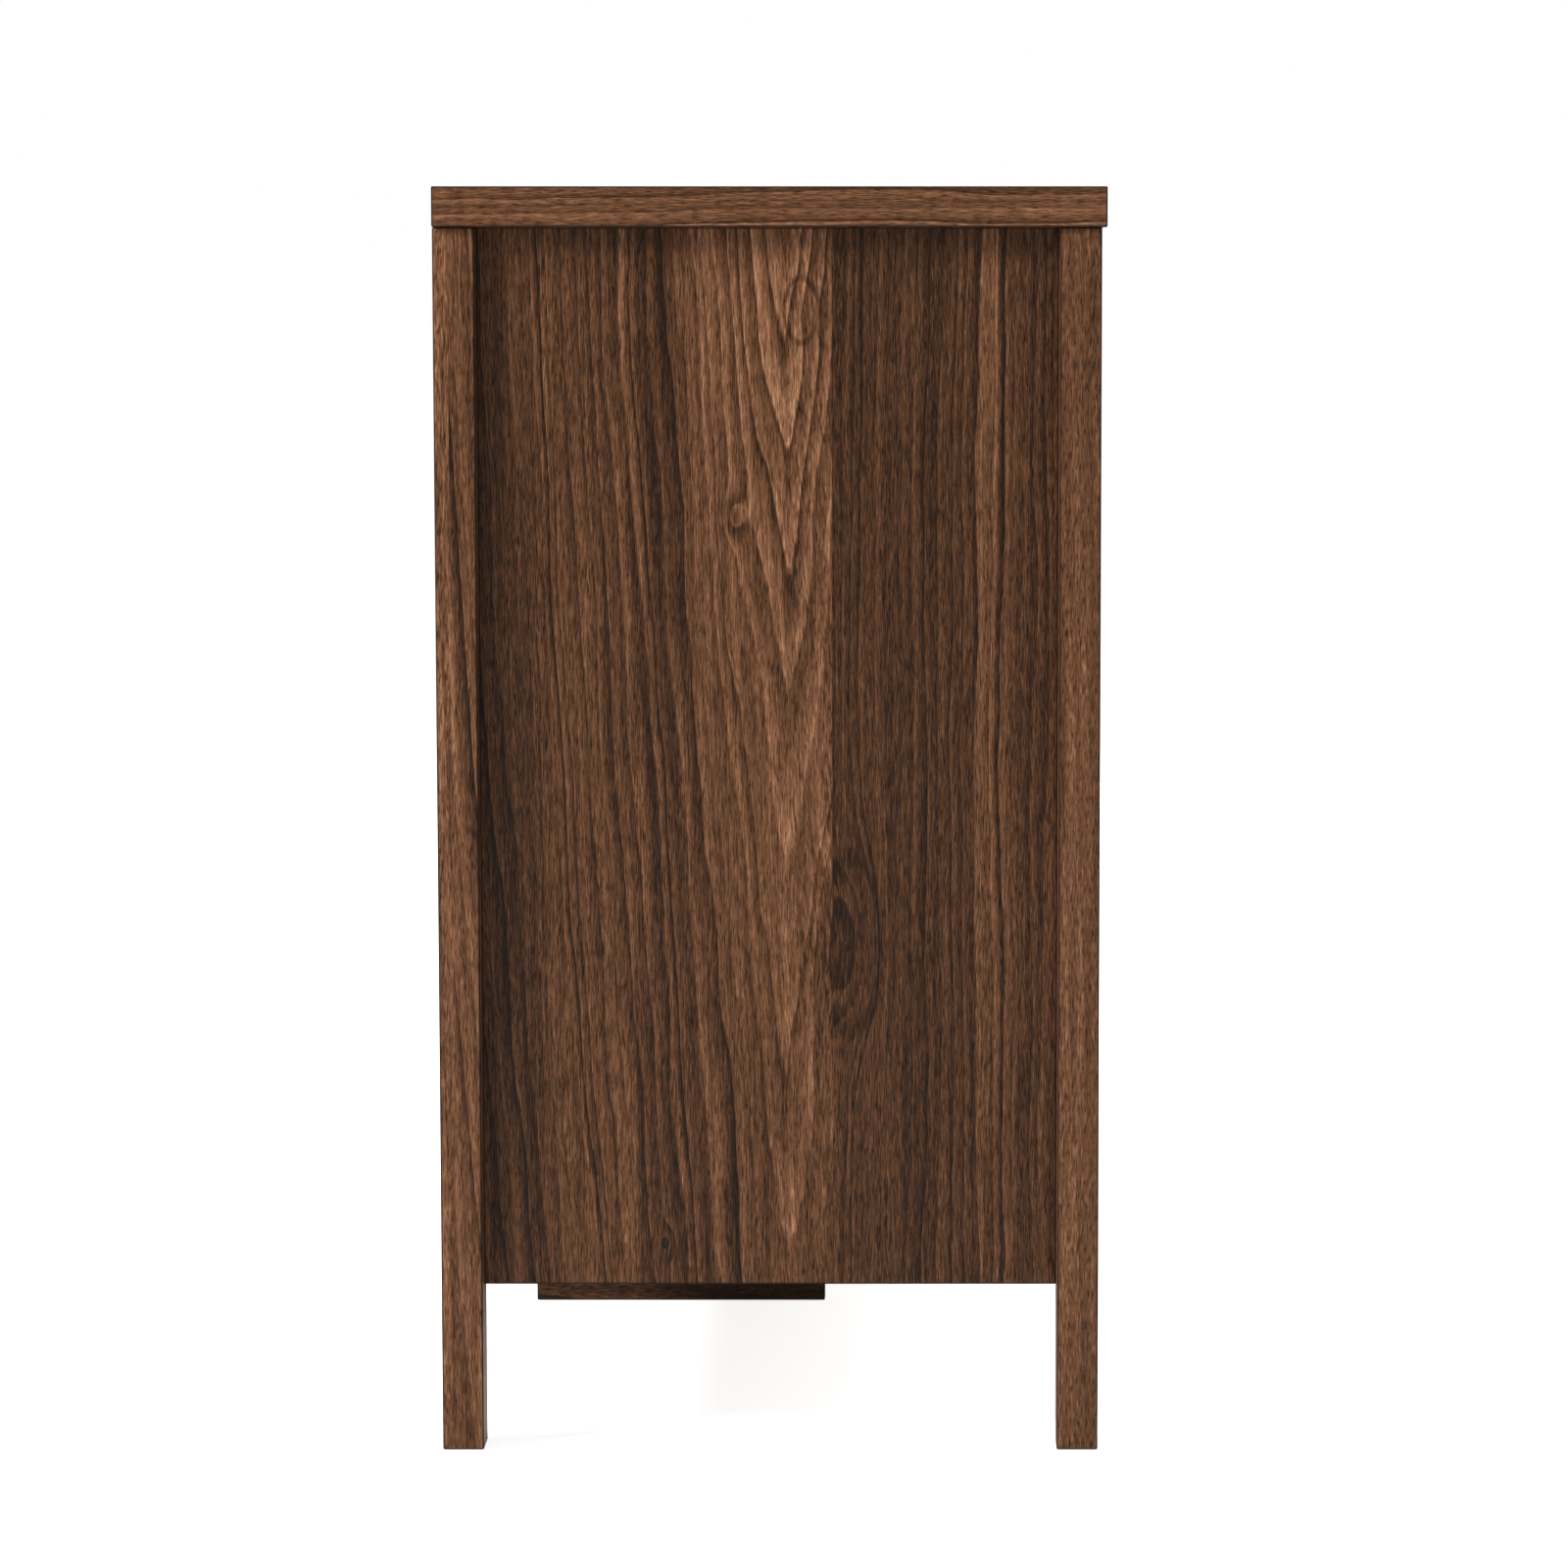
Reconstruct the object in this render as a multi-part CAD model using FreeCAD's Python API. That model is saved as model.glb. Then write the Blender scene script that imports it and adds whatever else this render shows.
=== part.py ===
import FreeCAD, Part
import math
import os

from FreeCAD import Vector

# Shoe cabinet on four square legs. A top board lies on the legs; side panels are set back between them; a
# bottom panel, a centre partition and a grooved back in two halves close the case, and a short board under
# the middle stands on the floor. Each bay has three adjustable shelves and an inset door that turns on
# hidden pivot pins. X is the width, the doors face -Y and Z is up. The origin is on the floor, under the
# middle of the top board. All sizes are in millimetres.

# Overall size
top_width = 800.0
top_depth = 400.0
overall_height = 762.0

# Carcass
top_thickness = 24.0
side_thickness = 15.0
bottom_thickness = 15.0
partition_thickness = 15.0
leg_width = 25.0
ground_clearance = 100.0          # floor to the underside of the bottom and side panels
top_side_overhang = 3.0           # top board past the legs, at each end
top_front_overhang = 3.0          # top board past the front legs; it is flush at the back
support_thickness = 15.0
support_length = 200.0
support_inset = 25.0              # support board's rear edge, in from the back of the case
board_arris = 0.8                 # rounding of a board's edges
leg_arris = 1.0

# Back, in grooves
back_thickness = 3.0
back_setback = 9.0                # behind the back panel, to the back of the case
groove_depth = 6.0
groove_clearance = 0.1            # on each face of the back panel
groove_end_clearance = 0.5        # past each edge of the back panel
strip_width = 14.0                # H strip that joins the two halves
strip_wall = 1.0

# Doors
door_thickness = 15.0
door_arris = 1.5
door_swing_clearance = 0.65       # left between the turning hinge edge and the leg
door_meeting_gap = 3.0
door_top_gap = 3.0
bay_setback = 17.0                # shelves and partition, back from the doors
pull_radius = 20.0                # finger hole, half in each door
pull_height = 525.0
pull_rounding = 2.5

# Pivots: a steel pin in each end of the door, a flanged nylon bush in the board
pivot_edge_extra = 0.5            # pin further from the hinge edge than from the door's faces
pin_radius = 2.5
pin_in_door = 25.0
pin_in_bush = 10.0
pin_running_clearance = 0.05
bush_radius = 4.0
bush_depth = 12.0
bush_flange_radius = 5.5
bush_flange_thickness = 1.5       # upper bush
bush_seat_thickness = 3.0         # lower bush, which carries the door

# Shelves and their pins
shelf_thickness = 15.0
shelf_count = 3
shelf_side_gap = 1.0
shelf_rear_gap = 4.0
hole_pitch = 32.0
spare_holes = 1                   # pin holes above and below each shelf's own
hole_inset = 37.0                 # pin rows, in from the shelf's front and rear edges
hole_end_clearance = 2.0
pin_meeting_gap = 0.5             # from a pin's end to the middle of the partition
peg_radius = 3.5
peg_length = 9.0

# Cam fixings and dowels
fixing_clearance = 0.1
end_clearance = 0.5
row_inset = 90.0                  # fixing rows, in from the front and back of the case
row_step = 32.0                   # from a fixing to the dowel beside it
cam_setback = 24.0                # cam's centre from the seam
cam_radius = 7.5
cam_skin = 2.5                    # board left behind a cam
cam_key_radius = 1.6
cam_key_depth = 2.0
bolt_radius = 3.0
bolt_head_radius = 3.4
bolt_head_length = 4.0
bolt_in_board = 11.0
cover_radius = 8.5
cover_thickness = 1.0
dowel_radius = 4.0
dowel_length = 30.0
dowel_in_face = 10.0
dowel_chamfer = 0.8
leg_dowel_count = 3
leg_dowel_end = 60.0              # from the panel's ends to the first and last dowel
leg_groove_wall = 3.0             # leg left between a dowel and the back panel's groove
support_screw_radius = 2.5
support_screw_length = 55.0
support_screw_head_radius = 5.0
support_screw_head_length = 3.0

# Magnet catches
catch_offset = 27.0               # from the partition's face to the middle of the catch
catch_body_width = 28.0
catch_depth = 15.0
catch_height = 16.0
ear_width = 46.0
ear_thickness = 3.0
ear_screw_spacing = 37.0
magnet_width = 21.0
magnet_height = 5.0
magnet_depth = 11.0
pole_thickness = 1.5
pole_out = 0.8                    # pole plates past the front of the housing
magnet_drop = 10.0                # from the top board to the middle of the magnet
catch_clearance = 0.2             # round the magnet, and from pole plate to strike plate
strike_width = 40.0
strike_height = 12.0
strike_thickness = 1.0
strike_screw_spacing = 31.0
small_screw_radius = 1.75
small_screw_length = 12.0
small_head_radius = 3.2
small_head_length = 1.9

# Planes and edges that several pieces share
front_y = -top_depth / 2 + top_front_overhang
rear_y = top_depth / 2
leg_outer_x = top_width / 2 - top_side_overhang
leg_inner_x = leg_outer_x - leg_width
side_mid_x = leg_inner_x + side_thickness / 2
leg_mid_x = leg_inner_x + leg_width / 2
leg_top_z = overall_height - top_thickness
floor_z = ground_clearance + bottom_thickness
door_back_y = front_y + door_thickness
bay_front_y = door_back_y + bay_setback
back_rear_y = rear_y - back_setback
back_front_y = back_rear_y - back_thickness
groove_front_y = back_front_y - groove_clearance
groove_rear_y = back_rear_y + groove_clearance
partition_rear_y = groove_front_y - strip_wall
partition_face_x = partition_thickness / 2
front_row_y = front_y + row_inset
rear_row_y = rear_y - row_inset
shelf_rear_y = back_front_y - shelf_rear_gap

# The hinge edge's corner turns at corner_swing from the pin, and the gap beside the leg follows from it
pivot_inset = door_thickness / 2 + pivot_edge_extra
corner_swing = door_arris + math.hypot(pivot_inset - door_arris, door_thickness / 2 - door_arris)
door_side_gap = corner_swing - pivot_inset + door_swing_clearance
door_outer_x = leg_inner_x - door_side_gap
pivot_x = door_outer_x - pivot_inset
pivot_y = front_y + door_thickness / 2
door_bottom_z = floor_z + bush_seat_thickness
door_top_z = leg_top_z - door_top_gap

# Shelves stand a whole number of pin holes apart, with equal room above the top one and below the lowest
bay_height = leg_top_z - floor_z
shelf_step = hole_pitch * round((bay_height + shelf_thickness) / (shelf_count + 1) / hole_pitch)
shelf_stack = shelf_step * (shelf_count - 1) + shelf_thickness
lowest_shelf_z = floor_z + (bay_height - shelf_stack) / 2
shelf_pin_length = partition_thickness / 2 - pin_meeting_gap
catch_x = partition_face_x + catch_offset
magnet_z = leg_top_z - magnet_drop

side_names = {-1: "left", 1: "right"}
up = Vector(0, 0, 1)
down = Vector(0, 0, -1)
backward = Vector(0, 1, 0)
forward = Vector(0, -1, 0)

pieces = {}     # node name: its solids
holes = {}      # node name: what is cut from them


def add(node, *solids):
    pieces.setdefault(node, []).extend(solids)


def drill(node, *cutters):
    holes.setdefault(node, []).extend(cutters)


def outward(side):
    return Vector(side, 0, 0)


def block(x_ends, y_ends, z_ends):
    low = Vector(min(x_ends), min(y_ends), min(z_ends))
    high = Vector(max(x_ends), max(y_ends), max(z_ends))
    size = high - low
    return Part.makeBox(size.x, size.y, size.z, low)


def block_between(corner, opposite):
    return block((corner.x, opposite.x), (corner.y, opposite.y), (corner.z, opposite.z))


def rod(radius, start, end):
    return Part.makeCylinder(radius, (end - start).Length, start, end - start)


def taper(start_radius, end_radius, start, end):
    return Part.makeCone(start_radius, end_radius, (end - start).Length, start, end - start)


def ease(solid, radius, direction=None):
    # Rounds every edge, or those that run along one direction
    chosen = solid.Edges
    if direction is not None:
        chosen = [edge for edge in chosen if abs(edge.tangentAt(0).dot(direction)) > 0.99]
    return solid.makeFillet(radius, chosen)


def slot(mouth, inward, along, reach, width, depth):
    across = along.cross(inward)
    half = along * reach + across * (width / 2)
    return block_between(mouth - half, mouth + half + inward * depth)


def cross_recess(mouth, inward, reach, width, depth):
    axes = [axis for axis in (Vector(1, 0, 0), backward, up) if abs(axis.dot(inward)) < 0.5]
    return [slot(mouth, inward, axis, reach, width, depth) for axis in axes]


def screw_blank(seat, inward, length, radius, head_radius, head_length, countersunk, grow=0.0):
    tip_start = seat + inward * (length - 2 * radius)
    shank = rod(radius + grow, seat, tip_start)
    tip = taper(radius + grow, (radius + grow) / 4, tip_start, seat + inward * length)
    if countersunk:
        head = taper(head_radius + grow, radius + grow, seat, seat + inward * head_length)
    else:
        head = rod(head_radius + grow, seat - inward * head_length, seat)
    return shank.fuse([tip, head])


def screw(node, boards, seat, inward, length, radius, head_radius, head_length, countersunk):
    blank = screw_blank(seat, inward, length, radius, head_radius, head_length, countersunk)
    face = seat if countersunk else seat - inward * head_length
    recess = cross_recess(face, inward, head_radius * 0.55, radius * 0.45, head_length * 0.7)
    add(node, blank.cut(recess))
    hole = screw_blank(seat, inward, length + end_clearance, radius, head_radius, head_length,
                       countersunk, fixing_clearance)
    for board in boards:
        drill(board, hole)


def cam_fixing(bolt_board, cam_board, cam_board_thickness, seam, inward, face, covered=True):
    # The bolt is driven into bolt_board at the seam; the cam lies in cam_board's face
    head_start = seam + inward * (cam_setback - bolt_head_length / 2)
    head_end = head_start + inward * bolt_head_length
    bolt_start = seam - inward * bolt_in_board
    bolt = rod(bolt_radius, bolt_start, head_start).fuse(rod(bolt_head_radius, head_start, head_end))
    add("cam_bolts", bolt)
    drill(bolt_board, rod(bolt_radius + fixing_clearance, bolt_start - inward * end_clearance, seam))

    mouth = seam + inward * cam_setback + face * (cam_board_thickness / 2)
    bottom = mouth - face * (cam_board_thickness - cam_skin)
    passage = rod(bolt_head_radius + fixing_clearance, seam, head_end + inward * fixing_clearance)
    pocket = rod(cam_radius + fixing_clearance, bottom - face * fixing_clearance, mouth)
    drill(cam_board, passage, pocket)
    key = rod(cam_key_radius, mouth - face * cam_key_depth, mouth)
    arms = cross_recess(mouth, -face, cam_radius * 0.55, cam_key_radius * 0.75, cam_key_depth)
    add("cam_locks", rod(cam_radius, bottom, mouth).cut([passage, key] + arms))
    if covered:
        peg = rod(cam_key_radius - fixing_clearance, mouth - face * (cam_key_depth - end_clearance), mouth)
        disc = rod(cover_radius, mouth, mouth + face * cover_thickness)
        add("cam_covers", disc.fuse(peg))


def dowel(node, face_board, edge_board, seam, inward, in_face=dowel_in_face):
    start = seam - inward * in_face
    end = start + inward * dowel_length
    pin = rod(dowel_radius, start, end)
    rims = [edge for edge in pin.Edges if isinstance(edge.Curve, Part.Circle)]
    add(node, pin.makeChamfer(dowel_chamfer, rims))
    hole_radius = dowel_radius + fixing_clearance
    drill(face_board, rod(hole_radius, start - inward * end_clearance, seam))
    drill(edge_board, rod(hole_radius, seam, end + inward * end_clearance))


def top_board():
    board = block((-top_width / 2, top_width / 2), (-top_depth / 2, top_depth / 2), (leg_top_z, overall_height))
    add("top_board", ease(board, board_arris))
    groove_end_x = leg_inner_x + groove_depth
    drill("top_board", block((-groove_end_x, groove_end_x), (groove_front_y, groove_rear_y),
                             (leg_top_z, leg_top_z + groove_depth)))


def legs():
    for side, name in side_names.items():
        across = (side * leg_inner_x, side * leg_outer_x)
        height = (0, leg_top_z)
        add("leg_front_" + name, ease(block(across, (front_y, front_y + leg_width), height), leg_arris))
        add("leg_rear_" + name, ease(block(across, (rear_y - leg_width, rear_y), height), leg_arris))
        drill("leg_rear_" + name, block((side * leg_inner_x, side * (leg_inner_x + groove_depth)),
                                        (groove_front_y, groove_rear_y),
                                        (floor_z - groove_depth, leg_top_z)))
        dowel("leg_dowels", "top_board", "leg_front_" + name,
              Vector(side * leg_mid_x, front_y + leg_width / 2, leg_top_z), down)
        dowel("leg_dowels", "top_board", "leg_rear_" + name,
              Vector(side * leg_mid_x, rear_y - leg_width / 2, leg_top_z), down)


def side_panels():
    in_leg = leg_width - back_setback - back_thickness - leg_groove_wall
    first_z = ground_clearance + leg_dowel_end
    dowel_step = (leg_top_z - leg_dowel_end - first_z) / (leg_dowel_count - 1)
    for side, name in side_names.items():
        panel = "side_panel_" + name
        across = (side * leg_inner_x, side * (leg_inner_x + side_thickness))
        along = (front_y + leg_width, rear_y - leg_width)
        add(panel, block(across, along, (ground_clearance, leg_top_z)))
        for index in range(leg_dowel_count):
            height = first_z + dowel_step * index
            dowel("leg_dowels", "leg_front_" + name, panel,
                  Vector(side * side_mid_x, front_y + leg_width, height), backward, in_leg)
            dowel("leg_dowels", "leg_rear_" + name, panel,
                  Vector(side * side_mid_x, rear_y - leg_width, height), forward, in_leg)
        for row_y, step in ((front_row_y, row_step), (rear_row_y, -row_step)):
            cam_fixing("top_board", panel, side_thickness,
                       Vector(side * side_mid_x, row_y, leg_top_z), down, outward(-side))
            dowel("carcass_dowels", "top_board", panel,
                  Vector(side * side_mid_x, row_y + step, leg_top_z), down)


def bottom_panel():
    board = block((-leg_inner_x, leg_inner_x), (front_y, rear_y), (ground_clearance, floor_z))
    add("bottom_panel", ease(board, board_arris, Vector(1, 0, 0)))
    drill("bottom_panel", block((-leg_inner_x, leg_inner_x), (groove_front_y, groove_rear_y),
                                (floor_z - groove_depth, floor_z)))
    middle_z = ground_clearance + bottom_thickness / 2
    for side, name in side_names.items():
        panel = "side_panel_" + name
        for row_y, step in ((front_row_y, row_step), (rear_row_y, -row_step)):
            cam_fixing(panel, "bottom_panel", bottom_thickness,
                       Vector(side * leg_inner_x, row_y, middle_z), outward(-side), down, covered=False)
            dowel("carcass_dowels", panel, "bottom_panel",
                  Vector(side * leg_inner_x, row_y + step, middle_z), outward(-side))


def centre_partition():
    board = block((-partition_face_x, partition_face_x), (bay_front_y, partition_rear_y), (floor_z, leg_top_z))
    add("centre_partition", ease(board, board_arris, up))
    for row_y, step in ((front_row_y, row_step), (rear_row_y, -row_step)):
        for other, seam_z, inward in (("top_board", leg_top_z, down), ("bottom_panel", floor_z, up)):
            cam_fixing(other, "centre_partition", partition_thickness,
                       Vector(0, row_y, seam_z), inward, outward(-1))
            dowel("carcass_dowels", other, "centre_partition", Vector(0, row_y + step, seam_z), inward)


def centre_support_leg():
    support_rear_y = rear_y - support_inset
    board = block((-support_thickness / 2, support_thickness / 2),
                  (support_rear_y - support_length, support_rear_y), (0, ground_clearance))
    add("centre_support_leg", ease(board, board_arris))
    for screw_y in (rear_row_y + row_step, rear_row_y - 3 * row_step):
        screw("support_screws", ("bottom_panel", "centre_support_leg"), Vector(0, screw_y, floor_z), down,
              support_screw_length, support_screw_radius, support_screw_head_radius,
              support_screw_head_length, countersunk=True)


def back():
    web_half = strip_wall / 2
    bottom_z = floor_z - groove_depth + groove_end_clearance
    top_z = leg_top_z + groove_depth - groove_end_clearance
    outer_x = leg_inner_x + groove_depth - groove_end_clearance
    for side, name in side_names.items():
        add("back_panel_" + name, block((side * (web_half + groove_clearance), side * outer_x),
                                        (back_front_y, back_rear_y), (bottom_z, top_z)))
    height = (floor_z, leg_top_z)
    flange = (-strip_width / 2, strip_width / 2)
    web = block((-web_half, web_half), (partition_rear_y, groove_rear_y + strip_wall), height)
    front_flange = block(flange, (partition_rear_y, groove_front_y), height)
    rear_flange = block(flange, (groove_rear_y, groove_rear_y + strip_wall), height)
    add("back_joint_strip", web.fuse([front_flange, rear_flange]).removeSplitter())


def shelf_pin(side_of_wall, wall_x, row_y, shelf_z):
    # The peg's flat top carries the shelf; side_of_wall points out of the wall's face
    centre = Vector(wall_x, row_y, shelf_z - pin_radius)
    out = outward(side_of_wall)
    shank = rod(pin_radius, centre - out * shelf_pin_length, centre)
    peg = rod(peg_radius, centre, centre + out * peg_length)
    reach = Vector(0, peg_radius, 0)
    flat = block_between(centre + up * pin_radius - reach, centre + up * peg_radius + reach + out * peg_length)
    add("shelf_pins", shank.fuse(peg.cut(flat)))


def shelves():
    rows = (bay_front_y + hole_inset, shelf_rear_y - hole_inset)
    hole_radius = pin_radius + fixing_clearance
    for index in range(shelf_count):
        shelf_z = lowest_shelf_z + shelf_step * index
        for side, name in side_names.items():
            across = (side * (partition_face_x + shelf_side_gap), side * (leg_inner_x - shelf_side_gap))
            board = block(across, (bay_front_y, shelf_rear_y), (shelf_z, shelf_z + shelf_thickness))
            add("shelf_" + name + "_" + str(index + 1), ease(board, board_arris))
            for row_y in rows:
                shelf_pin(-side, side * leg_inner_x, row_y, shelf_z)
                shelf_pin(side, side * partition_face_x, row_y, shelf_z)
        for row_y in rows:
            for step in range(-spare_holes, spare_holes + 1):
                centre = Vector(0, row_y, shelf_z - pin_radius + step * hole_pitch)
                through = Vector(partition_face_x, 0, 0)
                drill("centre_partition", rod(hole_radius, centre - through, centre + through))
                for side, name in side_names.items():
                    mouth = centre + Vector(side * leg_inner_x, 0, 0)
                    hole_depth = shelf_pin_length + hole_end_clearance
                    drill("side_panel_" + name, rod(hole_radius, mouth, mouth + outward(side) * hole_depth))


def finger_pull():
    # A round hole along Y with rounded rims, which the two doors share
    centre = Vector(0, front_y, pull_height)
    end = centre + backward * door_thickness
    cutters = [rod(pull_radius, centre, end)]
    rim_radius = pull_radius + pull_rounding
    for face, inward in ((centre, backward), (end, forward)):
        ring_centre = face + inward * pull_rounding
        ring = Part.makeTorus(rim_radius, pull_rounding, ring_centre, backward)
        cutters.append(rod(rim_radius, face, ring_centre).cut(ring))
    return cutters


def pivot(side, name, end_z, inward, gap, flange_thickness, board, board_z):
    # The pin is fixed in the door's end, and turns in a bush let into the board across the gap
    axis_x = side * pivot_x
    end = Vector(axis_x, pivot_y, end_z)
    pin_start = end - inward * (gap + pin_in_bush)
    pin_end = end + inward * pin_in_door
    add("pivot_pins_" + name, rod(pin_radius, pin_start, pin_end))
    pin_hole_radius = pin_radius + pin_running_clearance
    drill("door_" + name, rod(pin_hole_radius, end, pin_end + inward * end_clearance))

    seat = Vector(axis_x, pivot_y, board_z)
    sleeve_end = seat - inward * bush_depth
    sleeve = rod(bush_radius, sleeve_end, seat)
    flange = rod(bush_flange_radius, seat, seat + inward * flange_thickness)
    bore = rod(pin_hole_radius, sleeve_end, seat + inward * flange_thickness)
    add("pivot_bushes", sleeve.fuse(flange).removeSplitter().cut(bore))
    drill(board, rod(bush_radius + fixing_clearance, sleeve_end - inward * fixing_clearance, seat))


def doors():
    for side, name in side_names.items():
        slab = block((side * door_meeting_gap / 2, side * door_outer_x), (front_y, door_back_y),
                     (door_bottom_z, door_top_z))
        add("door_" + name, ease(slab, door_arris))
        drill("door_" + name, *finger_pull())
        pivot(side, name, door_bottom_z, up, bush_seat_thickness, bush_seat_thickness, "bottom_panel", floor_z)
        pivot(side, name, door_top_z, down, door_top_gap, bush_flange_thickness, "top_board", leg_top_z)


def strike_plates():
    plate_y = door_back_y + strike_thickness
    for side, name in side_names.items():
        centre_x = side * catch_x
        plate = "strike_plate_" + name
        add(plate, block((centre_x - strike_width / 2, centre_x + strike_width / 2), (door_back_y, plate_y),
                         (magnet_z - strike_height / 2, magnet_z + strike_height / 2)))
        for offset in (-strike_screw_spacing / 2, strike_screw_spacing / 2):
            screw("strike_screws_" + name, (plate, "door_" + name),
                  Vector(centre_x + offset, plate_y, magnet_z), forward, small_screw_length,
                  small_screw_radius, small_head_radius, small_head_length, countersunk=True)


def magnet_catches():
    pole_front_y = door_back_y + strike_thickness + catch_clearance
    housing_front_y = pole_front_y + pole_out
    housing_rear_y = housing_front_y + catch_depth
    magnet_rear_y = housing_front_y + magnet_depth
    stack_half = magnet_height / 2 + pole_thickness
    for side, name in side_names.items():
        centre_x = side * catch_x
        catch = "magnet_catch_" + name
        body = block((centre_x - catch_body_width / 2, centre_x + catch_body_width / 2),
                     (housing_front_y, housing_rear_y), (leg_top_z - catch_height, leg_top_z))
        ears = block((centre_x - ear_width / 2, centre_x + ear_width / 2),
                     (housing_front_y, housing_rear_y), (leg_top_z - ear_thickness, leg_top_z))
        add(catch, body.fuse(ears).removeSplitter())
        magnet_x = (centre_x - magnet_width / 2, centre_x + magnet_width / 2)
        drill(catch, block((magnet_x[0] - catch_clearance, magnet_x[1] + catch_clearance),
                           (housing_front_y, magnet_rear_y + catch_clearance),
                           (magnet_z - stack_half - catch_clearance, magnet_z + stack_half + catch_clearance)))
        add("catch_magnets", block(magnet_x, (housing_front_y, magnet_rear_y),
                                   (magnet_z - magnet_height / 2, magnet_z + magnet_height / 2)))
        for direction in (-1, 1):
            add("catch_pole_plates", block(magnet_x, (pole_front_y, magnet_rear_y),
                                           (magnet_z + direction * magnet_height / 2,
                                            magnet_z + direction * stack_half)))
            screw_x = centre_x + direction * ear_screw_spacing / 2
            screw("catch_screws", (catch, "top_board"),
                  Vector(screw_x, (housing_front_y + housing_rear_y) / 2, leg_top_z - ear_thickness), up,
                  small_screw_length, small_screw_radius, small_head_radius, small_head_length,
                  countersunk=False)


def write_steps():
    os.makedirs("parts", exist_ok=True)
    for node, solids in pieces.items():
        shape = solids[0] if len(solids) == 1 else Part.makeCompound(solids)
        if node in holes:
            shape = shape.cut(holes[node])
        shape.exportStep("parts/" + node + ".step")
        print(node, len(shape.Solids), "solids,", round(shape.Volume), "mm3")


for build in (top_board, legs, side_panels, bottom_panel, centre_partition, centre_support_leg, back, shelves,
              doors, strike_plates, magnet_catches):
    build()
write_steps()
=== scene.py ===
import bpy
import bmesh
import math
import random
from mathutils import Matrix, Vector


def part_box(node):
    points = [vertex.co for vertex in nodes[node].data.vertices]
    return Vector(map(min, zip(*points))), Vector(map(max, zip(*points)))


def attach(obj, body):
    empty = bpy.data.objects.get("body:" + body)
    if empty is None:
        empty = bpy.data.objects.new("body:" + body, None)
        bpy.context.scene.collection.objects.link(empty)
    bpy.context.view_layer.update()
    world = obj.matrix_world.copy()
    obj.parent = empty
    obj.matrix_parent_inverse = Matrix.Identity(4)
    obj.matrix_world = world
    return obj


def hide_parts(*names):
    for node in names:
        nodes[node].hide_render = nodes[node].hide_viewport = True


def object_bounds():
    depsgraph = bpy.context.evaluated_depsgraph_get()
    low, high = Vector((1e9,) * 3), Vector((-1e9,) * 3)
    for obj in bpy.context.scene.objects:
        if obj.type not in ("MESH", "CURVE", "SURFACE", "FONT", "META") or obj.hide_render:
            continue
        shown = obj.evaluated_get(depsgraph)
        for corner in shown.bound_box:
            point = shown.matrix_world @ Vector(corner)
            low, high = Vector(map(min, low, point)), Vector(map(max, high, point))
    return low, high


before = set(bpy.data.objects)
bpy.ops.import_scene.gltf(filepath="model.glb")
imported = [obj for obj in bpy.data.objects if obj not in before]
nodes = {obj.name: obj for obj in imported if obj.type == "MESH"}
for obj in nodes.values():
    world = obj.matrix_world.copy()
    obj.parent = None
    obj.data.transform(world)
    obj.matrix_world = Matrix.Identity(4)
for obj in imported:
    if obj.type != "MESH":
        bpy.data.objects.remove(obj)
cadLow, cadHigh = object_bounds()
bpy.ops.object.select_all(action="DESELECT")
print("frame loaded:", len(nodes), "nodes")


# shader helpers

def tint(red, green, blue):
    # a colour as a picker shows it, 0 to 255, made linear
    return tuple((c / 255 / 12.92) if c < 10.3 else ((c / 255 + 0.055) / 1.055) ** 2.4
                 for c in (red, green, blue)) + (1.0,)


class Wire:
    # a node's output that can be used in sums
    def __init__(self, graph, socket):
        self.graph = graph
        self.socket = socket

    def maths(self, operation, *others):
        return self.graph.make("ShaderNodeMath", {"operation": operation}, [self, *others])

    def __add__(self, other):
        return self.maths("ADD", other)

    def __sub__(self, other):
        return self.maths("SUBTRACT", other)

    def __rsub__(self, other):
        return self.graph.make("ShaderNodeMath", {"operation": "SUBTRACT"}, [other, self])

    def __mul__(self, other):
        return self.maths("MULTIPLY", other)

    def __truediv__(self, other):
        return self.maths("DIVIDE", other)

    def __pow__(self, other):
        return self.maths("POWER", other)

    def __gt__(self, other):
        return self.maths("GREATER_THAN", other)

    def fade(self, start, end):
        # 0 at start, 1 at end, smooth between; start may be the larger
        return self.graph.make("ShaderNodeMapRange", {"interpolation_type": "SMOOTHSTEP"},
                               {"Value": self, "From Min": start, "From Max": end})


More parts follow.
